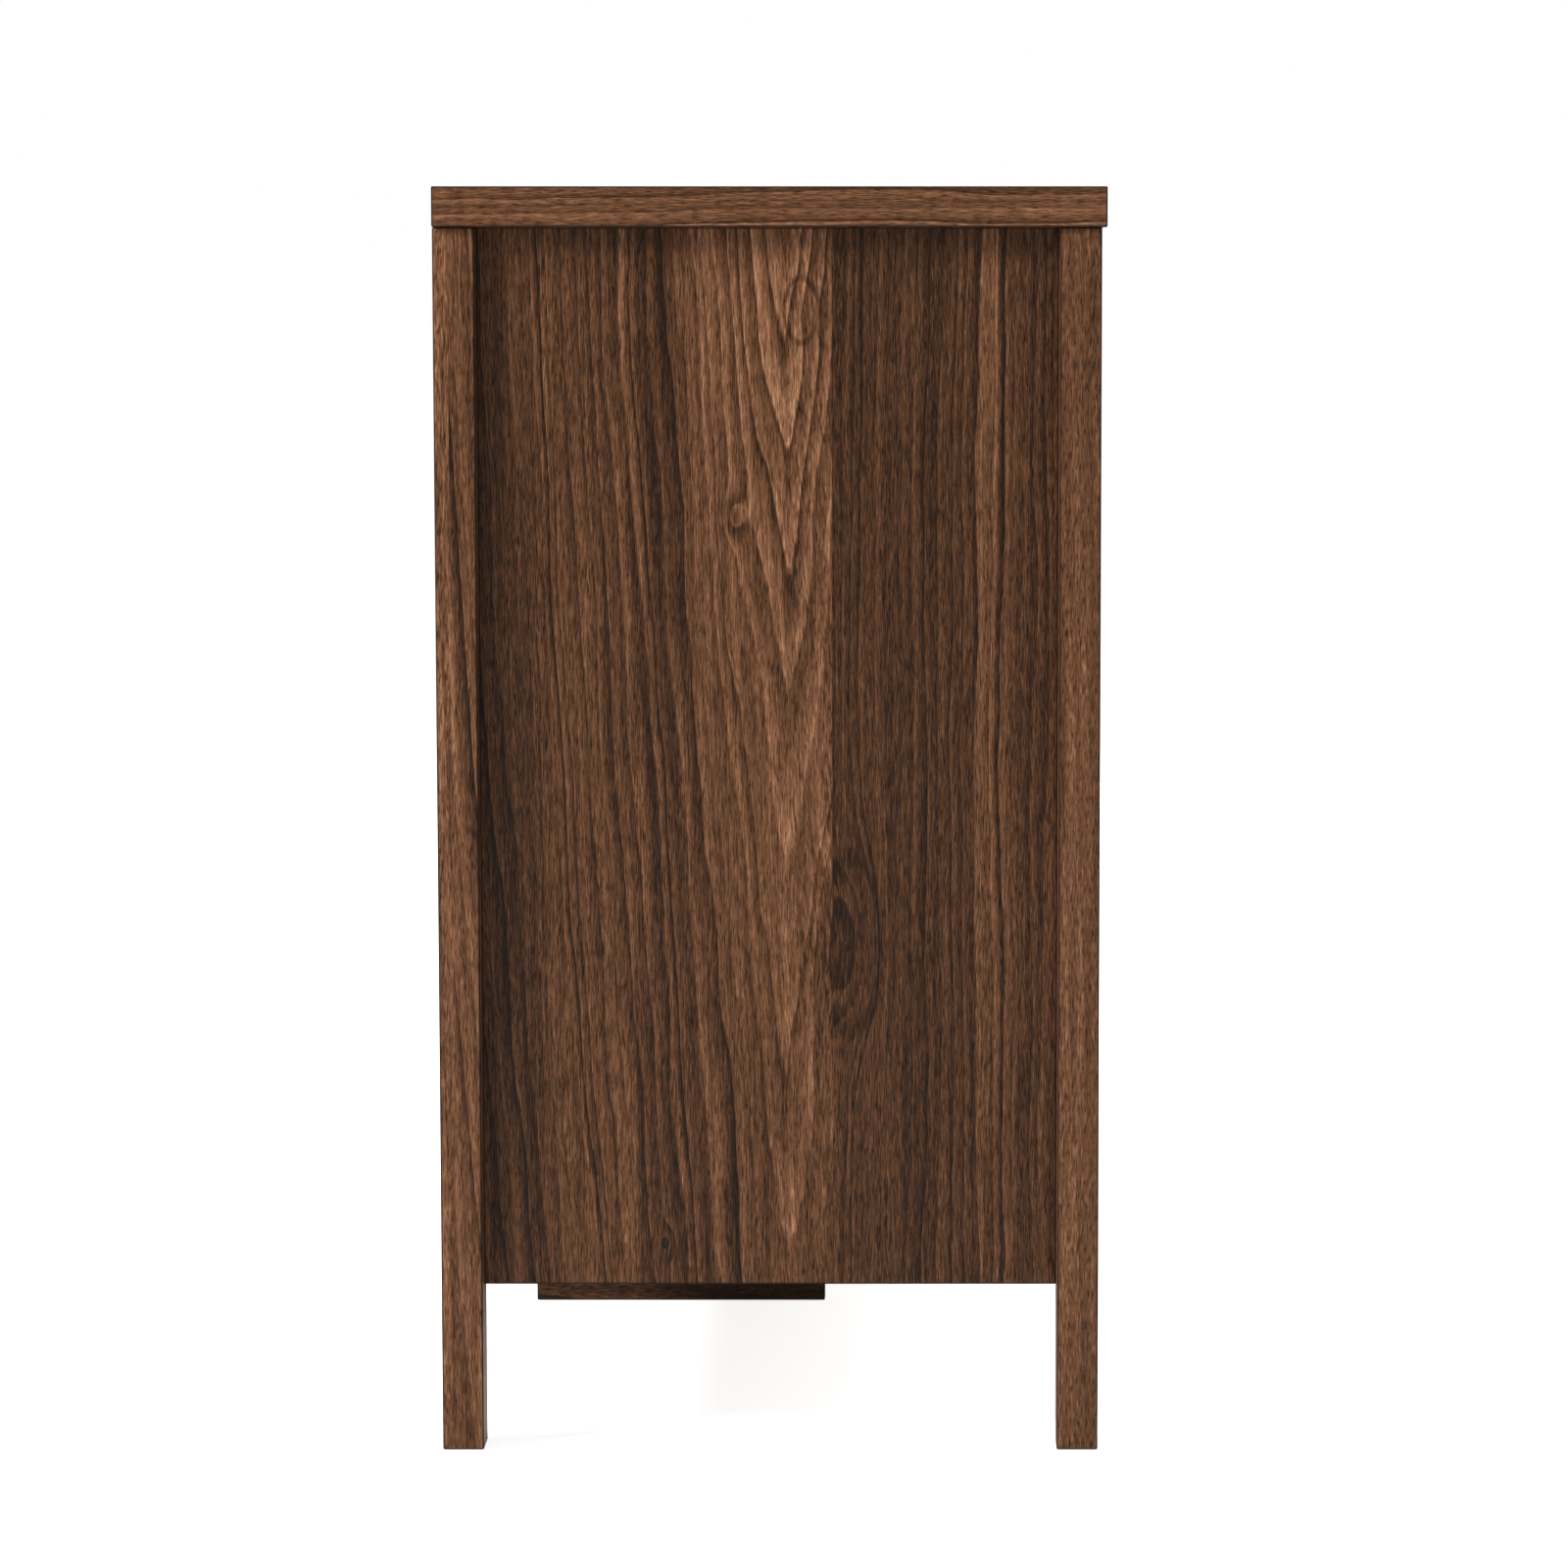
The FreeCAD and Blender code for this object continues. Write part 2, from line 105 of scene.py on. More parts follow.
class Graph:
    def __init__(self, name):
        self.material = bpy.data.materials.new(name)
        self.material.use_nodes = True
        self.tree = self.material.node_tree
        self.shader = self.tree.nodes["Principled BSDF"]

    def make(self, kind, settings=None, inputs=(), output=0):
        node = self.tree.nodes.new(kind)
        for key, value in (settings or {}).items():
            if key == "stops":
                self.setStops(node.color_ramp, value)
            else:
                setattr(node, key, value)
        for key, value in (inputs.items() if isinstance(inputs, dict) else enumerate(inputs)):
            self.feed(node.inputs[key], value)
        return Wire(self, node.outputs[output])

    def feed(self, socket, value):
        if isinstance(value, Wire):
            self.tree.links.new(value.socket, socket)
        else:
            socket.default_value = value

    def setStops(self, ramp, stops):
        while len(ramp.elements) < len(stops):
            ramp.elements.new(0.5)
        for element, (place, colour) in zip(ramp.elements, stops):
            element.position = place
            element.color = colour

    def place(self):
        # object coordinates as three wires
        point = self.make("ShaderNodeTexCoord", output="Object")
        split = self.make("ShaderNodeSeparateXYZ", None, [point])
        return [Wire(self, split.socket.node.outputs[i]) for i in range(3)]

    def noise(self, x, y, z=0.0, detail=2.0, roughness=0.5):
        point = self.make("ShaderNodeCombineXYZ", None, [x, y, z])
        return self.make("ShaderNodeTexNoise", None,
                         {"Vector": point, "Scale": 1.0, "Detail": detail, "Roughness": roughness})

    def mixColour(self, factor, first, second):
        return self.make("ShaderNodeMix", {"data_type": "RGBA"}, {0: factor, 6: first, 7: second}, output=2)

    def set(self, **inputs):
        for name, value in inputs.items():
            self.feed(self.shader.inputs[name.replace("_", " ")], value)

    def bump(self, height, depth):
        self.set(Normal=self.make("ShaderNodeBump", None,
                                  {"Height": height, "Distance": depth, "Strength": 1.0}))


# walnut laminate

walnutLook = {
    "stops": [(0.0, tint(15, 7, 2)), (0.22, tint(40, 23, 12)), (0.45, tint(75, 48, 29)),
              (0.68, tint(107, 72, 49)), (0.86, tint(140, 99, 72)), (1.0, tint(170, 124, 92))],
    "lineColour": tint(20, 12, 8),
    "lineWidth": 0.0011,            # dark line where two laminated faces meet
    "lineStrength": 0.85,
    "ringsPerMetre": 128,
    "ringDepth": 0.60,              # how dark the sharp side of a ring is
    "ringGlow": 0.13,               # how light its other side is
    "ringDrift": 2.4,               # how far rings stray from even spacing
    "tipPower": 1.35,               # 2 gives round ring tips, lower is more pointed
    "warp": 0.024,                  # broad bends of the rings, in metres
    "waver": 0.0062,                # small ones
    "knotWarp": 0.012,
    "tongueEdge": 0.0004,
    "warpScale": (16, 3.2),         # noise across and along the grain
    "waverScale": (70, 11),
    "bandScale": (34, 1.1, 0.12),   # the third number makes it follow the rings
    "ribScale": (260, 3.6, 0.9),
    "fibreScale": (1400, 100, 2.6),
    "poreScale": (1800, 150, 2.6),
    "bands": 0.55,
    "ribs": 0.50,
    "fibres": 1.05,
    "pores": 0.27,
    "middle": 0.50,
    "endGrainAt": 0.31,             # keeps end grain clear of the hearts
    "roughness": 0.5,
    "shine": 0.11,
    "relief": 0.00008,
}

axisOf = {"x": 0, "y": 1, "z": 2}


def stepped(across, planks, key):
    # a value that changes from plank to plank
    value = planks[0].get(key, 0.0)
    for before, after in zip(planks, planks[1:]):
        change = after.get(key, 0.0) - before.get(key, 0.0)
        if change:
            value = (across > before["to"]) * change + value
    return value


def hump(u, v, spot):
    # a soft oval, 1 in the middle
    du = (u - spot["u"]) / spot["wide"]
    dv = (v - spot["v"]) / spot["tall"]
    return ((du * du + dv * dv) * -1.0).maths("EXPONENT")


def walnut(name, box, grain, thin, planks, knots=(), faceAt=0.0, seed=0.0, tone=0.0, tongues=(), sway=1.0):
    look = walnutLook
    low, high = box
    graph = Graph(name)
    place = graph.place()
    along, depth = place[axisOf[grain]], place[axisOf[thin]]
    crossAxis = 3 - axisOf[grain] - axisOf[thin]
    cross = place[crossAxis]
    inset = [(place[i] - low[i]).maths("MINIMUM", high[i] - place[i]) for i in range(3)]
    otherInset = inset[axisOf[thin]].maths("MINIMUM", inset[crossAxis])
    onEnd = inset[axisOf[grain]].maths("LESS_THAN", otherInset)
    u = (cross + depth - faceAt) * (1 - onEnd) + (depth + look["endGrainAt"]) * onEnd
    v = along * (1 - onEnd) + cross * onEnd

    # distance from the heart of the log, warped, counted in yearly rings
    warp = (graph.noise(u * look["warpScale"][0], v * look["warpScale"][1], seed) - 0.5) * sway
    waver = (graph.noise(u * look["waverScale"][0], v * look["waverScale"][1], seed + 3.1) - 0.5) * sway
    height = v - stepped(u, planks, "from")
    deep = height * stepped(u, planks, "rise") + stepped(u, planks, "deep")
    side = u - stepped(u, planks, "heart")
    power = look["tipPower"]
    radius = (side.maths("ABSOLUTE") ** power + deep.maths("ABSOLUTE") ** power) ** (1 / power)
    radius = radius + warp * look["warp"] + waver * look["waver"]
    shade = 0.0
    for knot in knots:
        spot = hump(u + warp * look["knotWarp"], v, knot)
        if knot.get("pull"):
            radius = spot * knot["pull"] + radius
        if knot.get("tone"):
            shade = spot * knot["tone"] + shade
        if knot.get("outline"):
            outline = (spot - 0.4).maths("ABSOLUTE").fade(0.12, 0.02)
            shade = outline * -knot["outline"] + shade
    for tongue in tongues:
        inside = radius.fade(tongue["radius"] + look["tongueEdge"], tongue["radius"] - look["tongueEdge"])
        shade = inside * tongue["tone"] + shade
    ring = radius * look["ringsPerMetre"] + stepped(u, planks, "start")
    ring = (graph.noise(ring * 0.6, seed * 1.7, 0.0, 1.0) - 0.5) * look["ringDrift"] + ring
    count = ring.maths("FLOOR")
    within = ring - count
    strength = graph.make("ShaderNodeTexWhiteNoise", {"noise_dimensions": "1D"}, {"W": count + seed})
    sharpSide = (1 - within) ** 2.6 * within.fade(0.0, 0.09)
    edge = sharpSide * (strength ** 1.7 * 0.88 + 0.12) * look["ringDepth"]
    glow = within ** 4.0 * strength * look["ringGlow"]

    def streaks(key, shift, detail=2.0, roughness=0.5):
        across, lengthwise, follow = look[key]
        return graph.noise(u * across + ring * follow, v * lengthwise, seed + shift, detail, roughness)

    # broad bands, short fibres and pores that follow the grain
    bands = streaks("bandScale", 7.7)
    ribs = streaks("ribScale", 1.3, roughness=0.6)
    fibres = streaks("fibreScale", 0.0, roughness=0.6)
    pores = streaks("poreScale", 5.0, detail=1.0).fade(0.53, 0.68)
    level = (bands - 0.5) * look["bands"] + (ribs - 0.5) * look["ribs"] + (fibres - 0.5) * look["fibres"]
    level = level + look["middle"] + tone
    level = level + shade + stepped(u, planks, "tone") + glow - edge
    level = level - pores * look["pores"]
    colour = graph.make("ShaderNodeValToRGB", {"stops": look["stops"]}, [level])

    # second nearest face: small only along an arris
    nearest = inset[0].maths("MINIMUM", inset[1])
    further = inset[0].maths("MAXIMUM", inset[1])
    second = nearest.maths("MAXIMUM", further.maths("MINIMUM", inset[2]))
    line = second.fade(look["lineWidth"] * 1.15, look["lineWidth"] * 0.6)
    colour = graph.mixColour(line * look["lineStrength"], colour, look["lineColour"])
    graph.set(Base_Color=colour, Roughness=(fibres - 0.5) * 0.12 + pores * 0.1 + look["roughness"])
    graph.shader.inputs["Specular IOR Level"].default_value = look["shine"]
    graph.bump(pores * -1.0 + (fibres - 0.5) * 0.5, look["relief"])
    return graph.material


def dress(nodeName, material):
    mesh = nodes[nodeName].data
    mesh.materials.clear()
    mesh.materials.append(material)


def laminate(node, grain, thin, planks, seed, outer=0, name=None, **others):
    # outer is 0 or 1: whether the grain is counted from the low or the high face
    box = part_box(node)
    faceAt = box[outer][axisOf[thin]]
    name = "walnut_" + (name or node)
    dress(node, walnut(name, box, grain, thin, planks, faceAt=faceAt, seed=seed, **others))


def randomPlanks(start, end, seed, width=(0.10, 0.19)):
    # veneer strips from start to end, each with its own heart
    source = random.Random(seed)
    planks = []
    place = start
    while place < end:
        step = source.uniform(*width)
        planks.append({
            "to": place + step,
            "heart": place + step * source.uniform(0.1, 0.9),
            "deep": source.uniform(0.015, 0.06),
            "rise": source.choice((-1, 1)) * source.uniform(0.03, 0.08),
            "from": source.uniform(-0.2, 0.3),
            "tone": source.uniform(-0.07, 0.07),
            "start": source.uniform(0, 90),
        })
        place += step
    return planks


sidePlanks = [
    {"to": -0.0365, "heart": -0.32, "deep": 0.02, "rise": 0.010, "from": 0.1, "tone": -0.07, "start": 31},
    {"to": 0.5, "heart": -0.0095, "deep": 0.071, "rise": -0.080, "from": 0.1, "tone": 0.0, "start": 0},
]
sideKnots = [
    # pull bends the rings, tone darkens or lightens, outline draws a dark oval
    {"u": -0.0183, "v": 0.6886, "wide": 0.0095, "tall": 0.0200, "pull": 0.004, "tone": -0.04,
     "outline": 0.20},
    {"u": 0.0227, "v": 0.5655, "wide": 0.007, "tall": 0.014, "pull": -0.011, "tone": -0.16},
    {"u": 0.124, "v": 0.2256, "wide": 0.004, "tall": 0.009, "pull": 0.008, "tone": -0.15},
    {"u": 0.0626, "v": 0.126, "wide": 0.005, "tall": 0.009, "pull": 0.009, "tone": -0.15},
    {"u": -0.0480, "v": 0.3076, "wide": 0.018, "tall": 0.055, "pull": 0.03, "tone": -0.05, "outline": 0.12},
    # light and dark streaks
    {"u": -0.0100, "v": 0.50, "wide": 0.040, "tall": 0.34, "tone": 0.02},
    {"u": -0.0120, "v": 0.20, "wide": 0.024, "tall": 0.20, "tone": 0.02},
    {"u": 0.1330, "v": 0.68, "wide": 0.007, "tall": 0.09, "tone": 0.14},
    {"u": 0.1270, "v": 0.45, "wide": 0.006, "tall": 0.13, "tone": 0.10},
    {"u": 0.0860, "v": 0.60, "wide": 0.012, "tall": 0.22, "tone": 0.07},
    {"u": 0.0860, "v": 0.17, "wide": 0.007, "tall": 0.16, "tone": 0.08},
    {"u": 0.0640, "v": 0.66, "wide": 0.006, "tall": 0.14, "tone": -0.13},
    {"u": -0.1340, "v": 0.45, "wide": 0.011, "tall": 0.60, "tone": 0.14},
]

sideTongues = [
    {"radius": 0.0340, "tone": 0.115},
    {"radius": 0.0589, "tone": 0.10},
    {"radius": 0.0697, "tone": 0.09},
]

# the front legs take a darker tone than the rear ones: painted shade, as the key light falls from the rear
legLook = {"strips": (0.3, 0.6), "sway": 0.2, "tone": {"front": 0.065, "rear": 0.11}}
acrossDepth = (-0.2, 0.2)
# the last tone darkens the centre support leg: painted shade under the cabinet
paleTone, panelTone, underShadeTone = 0.11, -0.025, -0.12

for sideName, sign in (("left", -1), ("right", 1)):
    outer = 0 if sign < 0 else 1
    laminate("side_panel_" + sideName, "z", "x", sidePlanks, 1.0 + sign * 0.4, outer, "side_" + sideName,
             knots=sideKnots, tone=panelTone, tongues=sideTongues)
    for k, end in enumerate(("front", "rear")):
        planks = randomPlanks(-1, 1, 11 + k + sign, legLook["strips"])
        laminate("leg_" + end + "_" + sideName, "z", "x", planks, 5.0 + k * 3.3 + sign, outer,
                 tone=legLook["tone"][end], sway=legLook["sway"])
    doorLow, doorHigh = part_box("door_" + sideName)
    laminate("door_" + sideName, "z", "y", randomPlanks(doorLow.x, doorHigh.x, 5), 9.0 + sign)

for k, node in enumerate(("top_board", "bottom_panel")):
    laminate(node, "x", "z", randomPlanks(*acrossDepth, 20 + k), 14.0 + k, 1, tone=paleTone)
for node in nodes:
    if node.startswith("shelf_") and node != "shelf_pins":
        laminate(node, "x", "z", randomPlanks(*acrossDepth, len(node)), 17.0, 1)
laminate("centre_partition", "z", "x", randomPlanks(*acrossDepth, 40), 21.0, name="partition")
# the support leg's darker tone is painted shade, for it stands in shadow under the cabinet
laminate("centre_support_leg", "y", "x", randomPlanks(*acrossDepth, 44), 23.0, name="support", tone=underShadeTone)
print("walnut done")

# finishes of the other parts

def plastic(name, colour, paler, roughness, speck=0.00003):
    # moulded plastic: faint flow clouds and a fine spark-eroded grain
    graph = Graph(name)
    x, y, z = graph.place()
    clouds = graph.noise(x * 90, y * 90, z * 90, 2.0)
    grain = graph.noise(x * 2600, y * 2600, z * 2600, 1.0)
    graph.set(Base_Color=graph.mixColour(clouds.fade(0.3, 0.7), colour, paler),
              Roughness=(grain - 0.5) * 0.16 + (clouds - 0.5) * 0.08 + roughness)
    graph.bump(grain, speck)
    return graph.material


def metal(name, colour, darker, roughness, brushAxis=2, brushing=0.5):
    # plated metal: drawn lines along one axis, dull patches, a few dark specks
    graph = Graph(name)
    place = graph.place()
    scale = [1400, 1400, 1400]
    scale[brushAxis] = 60
    lines = graph.noise(*(place[i] * scale[i] for i in range(3)), 2.0)
    patches = graph.noise(*(place[i] * 140 for i in range(3)), 3.0)
    specks = graph.noise(*(place[i] * 900 for i in range(3)), 1.0).fade(0.70, 0.76)
    shade = patches.fade(0.35, 0.75) * 0.6 + specks * 0.4 + (lines - 0.5) * brushing
    graph.set(Base_Color=graph.mixColour(shade, colour, darker), Metallic=1.0 - specks * 0.3,
              Roughness=(lines - 0.5) * 0.2 + patches * 0.14 + specks * 0.2 + roughness)
    graph.bump(lines + patches * 0.5, 0.00002)
    return graph.material


hardboardLook = {
    "colour": tint(84, 58, 39),
    "light": tint(98, 69, 47),
    "dark": tint(68, 46, 30),
    "screenPitch": 0.0016,
    "relief": 0.00012,
}


def hardboard(name):
    # pressed fibre with the print of the press's wire screen
    graph = Graph(name)
    x, y, z = graph.place()
    pitch = 2 * math.pi / hardboardLook["screenPitch"]
    screen = (x * pitch).maths("SINE") * (z * pitch).maths("SINE")
    fibre = graph.noise(x * 900 + z * 300, y * 900, z * 700 - x * 200, 3.0, 0.65)
    chips = graph.noise(x * 220, y * 220, z * 260, 3.0, 0.6)
    clouds = graph.noise(x * 12, y * 12, z * 9, 3.0)
    colour = graph.mixColour(fibre.fade(0.3, 0.72), hardboardLook["colour"], hardboardLook["light"])
    colour = graph.mixColour(chips.fade(0.56, 0.74) * 0.8, colour, hardboardLook["dark"])
    colour = graph.mixColour(clouds.fade(0.3, 0.75) * 0.35, colour, hardboardLook["dark"])
    graph.set(Base_Color=colour, Roughness=(fibre - 0.5) * 0.2 + 0.7 + screen * 0.05)
    graph.shader.inputs["Specular IOR Level"].default_value = 0.25
    graph.bump(screen * 0.5 + fibre, hardboardLook["relief"])
    return graph.material


def beech(name, axis):
    # turned dowel: pale, with short brown flecks along it
    graph = Graph(name)
    place = graph.place()
    scale = [700, 700, 700]
    scale[axis] = 55
    lines = graph.noise(*(place[i] * scale[i] for i in range(3)), 3.0)
    scale = [1500, 1500, 1500]
    scale[axis] = 300
    flecks = graph.noise(*(place[i] * scale[i] for i in range(3)), 1.0).fade(0.6, 0.72)
    colour = graph.mixColour(lines.fade(0.3, 0.7), tint(214, 178, 132), tint(186, 144, 98))
    graph.set(Base_Color=graph.mixColour(flecks * 0.7, colour, tint(138, 94, 58)),
              Roughness=(lines - 0.5) * 0.2 + 0.62)
    graph.bump(lines - flecks, 0.00006)
    return graph.material


zincPlate = metal("zinc_plate", tint(150, 151, 153), tint(112, 113, 116), 0.40)
brightSteel = metal("bright_steel_pin", tint(205, 205, 206), tint(160, 160, 162), 0.18)
castZinc = metal("cast_zinc", tint(168, 169, 170), tint(120, 121, 124), 0.42, 2, 0.2)
brownPlastic = plastic("brown_moulding", tint(50, 31, 20), tint(63, 41, 27), 0.45)
whiteNylon = plastic("white_nylon_moulding", tint(222, 219, 210), tint(206, 202, 190), 0.38, 0.00002)
ferrite = plastic("ferrite_block", tint(44, 43, 43), tint(66, 64, 63), 0.62, 0.00006)
for side in ("left", "right"):
    dress("back_panel_" + side, hardboard("hardboard_" + side))
    dress("pivot_pins_" + side, brightSteel)
    dress("strike_screws_" + side, zincPlate)
for node in ("cam_bolts", "catch_pole_plates", "catch_screws", "support_screws", "shelf_pins",
             "strike_plate_left", "strike_plate_right"):
    dress(node, zincPlate)
for node in ("magnet_catch_left", "magnet_catch_right", "cam_covers", "back_joint_strip"):
    dress(node, brownPlastic)
dress("cam_locks", castZinc)
dress("pivot_bushes", whiteNylon)
dress("catch_magnets", ferrite)
dress("carcass_dowels", beech("beech_dowel", 0))
dress("leg_dowels", beech("beech_leg_dowel", 1))
print("other finishes done")


# modelling helpers

tolerance = 0.000001
weldDistance = 0.000004
smoothAngle = 32


def start(kind, name, **settings):
    bpy.ops.object.select_all(action="DESELECT")
    getattr(bpy.ops.mesh, "primitive_" + kind + "_add")(**settings)
    bpy.ops.object.transform_apply(location=True, rotation=True, scale=True)
    bpy.context.object.name = name
    return bpy.context.object


def editing(on):
    bpy.ops.object.mode_set(mode="EDIT" if on else "OBJECT")


def choose(kind, test):
    # selects the vertices, edges or faces that pass a test, and nothing else
    bpy.ops.mesh.select_mode(type=kind)
    bpy.ops.mesh.select_all(action="DESELECT")
    mesh = bpy.context.object.data
    shape = bmesh.from_edit_mesh(mesh)
    shape.normal_update()
    for item in {"VERT": shape.verts, "EDGE": shape.edges, "FACE": shape.faces}[kind]:
        if test(item):
            item.select_set(True)
    shape.select_flush_mode()
    bmesh.update_edit_mesh(mesh)


def middleOf(item):
    return sum((corner.co for corner in item.verts), Vector()) / len(item.verts)


def runsAlong(edge, axis):
    line = edge.verts[1].co - edge.verts[0].co
    return abs(line[axis]) > 0.99 * line.length


def push(x=0.0, y=0.0, z=0.0):
    bpy.ops.mesh.extrude_region_move(TRANSFORM_OT_translate={"value": (x, y, z)})


def bevel(width, segments=2):
    bpy.ops.mesh.bevel(offset=width, segments=segments, affect="EDGES")


def pick(pieces):
    bpy.ops.object.select_all(action="DESELECT")
    bpy.context.view_layer.objects.active = pieces[0]
    for piece in pieces:
        piece.select_set(True)


def cut(piece, cutter):
    modifier = piece.modifiers.new("cut", "BOOLEAN")
    modifier.operation = "DIFFERENCE"
    modifier.object = cutter
    pick([piece])
    bpy.ops.object.modifier_apply(modifier="cut")
    bpy.data.objects.remove(cutter)


def finish(piece):
    pick([piece])
    editing(True)
    bpy.ops.mesh.select_all(action="SELECT")
    bpy.ops.mesh.remove_doubles(threshold=weldDistance)
    bpy.ops.mesh.normals_make_consistent(inside=False)
    editing(False)
    bpy.ops.object.shade_smooth_by_angle(angle=math.radians(smoothAngle))


def solidBoxes(nodeName):
    # the box of each separate solid in a CAD node
    mesh = nodes[nodeName].data
    keys = [tuple(round(c * 1e6) for c in vertex.co) for vertex in mesh.vertices]
    parent = {key: key for key in keys}

    def root(key):
        while parent[key] != key:
            parent[key] = parent[parent[key]]
            key = parent[key]
        return key

    for polygon in mesh.polygons:
        first, *rest = [root(keys[i]) for i in polygon.vertices]
        for other in rest:
            parent[root(other)] = root(first)
    groups = {}
    for key, vertex in zip(keys, mesh.vertices):
        groups.setdefault(root(key), []).append(vertex.co)
    boxes = [(Vector(map(min, *points)), Vector(map(max, *points))) for points in groups.values()]
    return sorted(boxes, key=lambda ends: tuple(round(c, 5) for c in (ends[0] + ends[1])))


def facing(direction, upward=(0, 0, 1)):
    # a turn that takes +Z to direction and keeps +Y as near upward as it can
    out = Vector(direction)
    upward = Vector(upward)
    if abs(out.dot(upward)) > 0.9:
        upward = Vector((0, 1, 0))
    across = upward.cross(out).normalized()
    return Matrix((across, out.cross(across), out)).transposed().to_4x4()


def setOut(model, places, name, nodeName, material, body="carcass"):
    # one copy at each place, each with its own mesh, joined to stand for the node
    copies = []
    for place in places:
        copy = bpy.data.objects.new(name, model.data.copy())
        copy.data.transform(place)
        bpy.context.collection.objects.link(copy)
        copies.append(copy)
    pick(copies)
    bpy.ops.object.join()
    bpy.data.objects.remove(model)
    settle(copies[0], name, nodeName, material, body)


def settle(piece, name, nodeName, material, body="carcass"):
    piece.name = name
    piece.data.materials.clear()
    piece.data.materials.append(material)
    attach(piece, body)
    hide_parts(nodeName)
    print("made", name)


def inwards(middle, far=0.2):
    # out of the board that a fitting sits in: side panels face the middle, the partition faces outwards
    outwards = 1 if middle.x > 0 else -1
    return -outwards if abs(middle.x) > far else outwards


# cam locks: zinc drums with a stepped face and a cross slot

camLook = {"sides": 40, "rim": 0.0011, "step": 0.0005, "edge": 0.0003,
           "slotReach": 0.0042, "slotWidth": 0.0017, "slotDepth": 0.0019,
           "windowWide": 0.0046, "windowDeep": 0.0062, "windowReach": 1.1}


def makeCamLocks():
    boxes = solidBoxes("cam_locks")
    size = boxes[0][1] - boxes[0][0]
    radius, depth = max(size) / 2, min(size)
    lock = start("cylinder", "cam_lock", vertices=camLook["sides"], radius=radius, depth=depth,
                 location=(0, 0, -depth / 2))
    editing(True)
    choose("EDGE", lambda edge: middleOf(edge).z > -tolerance)
    bevel(camLook["edge"])
    choose("FACE", lambda face: face.normal.z > 0.99 and len(face.verts) > 8)
    bpy.ops.mesh.inset(thickness=camLook["rim"])
    push(z=-camLook["step"])
    bpy.ops.mesh.inset(thickness=camLook["edge"])
    editing(False)
    for turn in (0, math.pi / 2):
        bar = start("cube", "cutter", size=1, rotation=(0, 0, turn),
                    scale=(camLook["slotReach"] * 2, camLook["slotWidth"], camLook["slotDepth"] * 2))
        cut(lock, bar)
    window = start("cube", "cutter", size=1, location=(radius, 0, -depth / 2),
                   scale=(radius * camLook["windowReach"], camLook["windowWide"], camLook["windowDeep"]))
    cut(lock, window)      # where the bolt's head comes in
    finish(lock)
    places = []
    for low, high in boxes:
        middle, size = (low + high) / 2, high - low
        axis = min(range(3), key=lambda i: size[i])
        out = Vector((inwards(middle), 0, 0)) if axis == 0 else Vector((0, 0, -1))
        places.append(Matrix.Translation(middle + out * depth / 2) @ facing(out))
    setOut(lock, places, "cam_lock_drums", "cam_locks", castZinc)


# cam covers: thin domed caps with a notch for a fingernail

coverLook = {"sides": 48, "dome": 0.00035, "edge": 0.0005, "ring": 0.0021, "pegDepth": 0.0015,
             "pegShare": 0.17, "notch": 0.0016, "notchOut": 0.3, "notchUp": 0.15, "domeRings": 3}


def makeCamCovers():
    boxes = solidBoxes("cam_covers")
    size = boxes[0][1] - boxes[0][0]
    radius, whole = max(size) / 2, min(size)
    thickness = whole - coverLook["pegDepth"]
    pegRadius = radius * coverLook["pegShare"]
    cover = start("cylinder", "cam_cover", vertices=coverLook["sides"], radius=radius, depth=thickness,
                  location=(0, 0, thickness / 2))
    editing(True)
    choose("FACE", lambda face: face.normal.z < -0.99)
    bpy.ops.mesh.inset(thickness=radius - pegRadius)
    push(z=-coverLook["pegDepth"])
    choose("EDGE", lambda edge: middleOf(edge).z > thickness - tolerance)
    bevel(coverLook["edge"], 3)
    for rings in range(coverLook["domeRings"]):
        choose("FACE", lambda face: face.normal.z > 0.99 and len(face.verts) > 8)
        bpy.ops.mesh.inset(thickness=coverLook["ring"])
        bpy.ops.transform.translate(value=(0, 0, coverLook["dome"] / (rings + 2)))
    editing(False)
    notch = start("cylinder", "cutter", vertices=16, radius=coverLook["notch"], depth=thickness,
                  location=(0, -radius - coverLook["notch"] * coverLook["notchOut"],
                            thickness * coverLook["notchUp"]))
    cut(cover, notch)
    finish(cover)
    places = []
    for low, high in boxes:
        middle = (low + high) / 2
        out = Vector((inwards(middle), 0, 0))
        seat = middle - out * (whole / 2 - coverLook["pegDepth"])
        places.append(Matrix.Translation(seat) @ facing(out))
    setOut(cover, places, "cam_cover_caps", "cam_covers", brownPlastic)


# shelf pins: a plated shank, a collar against the wall and a flat-topped peg

pinLook = {"sides": 32, "shank": 0.0025, "shankLength": 0.007, "collar": 0.0046, "collarThickness": 0.0008,
           "peg": 0.0035, "edge": 0.0005, "flatCutter": 0.02}


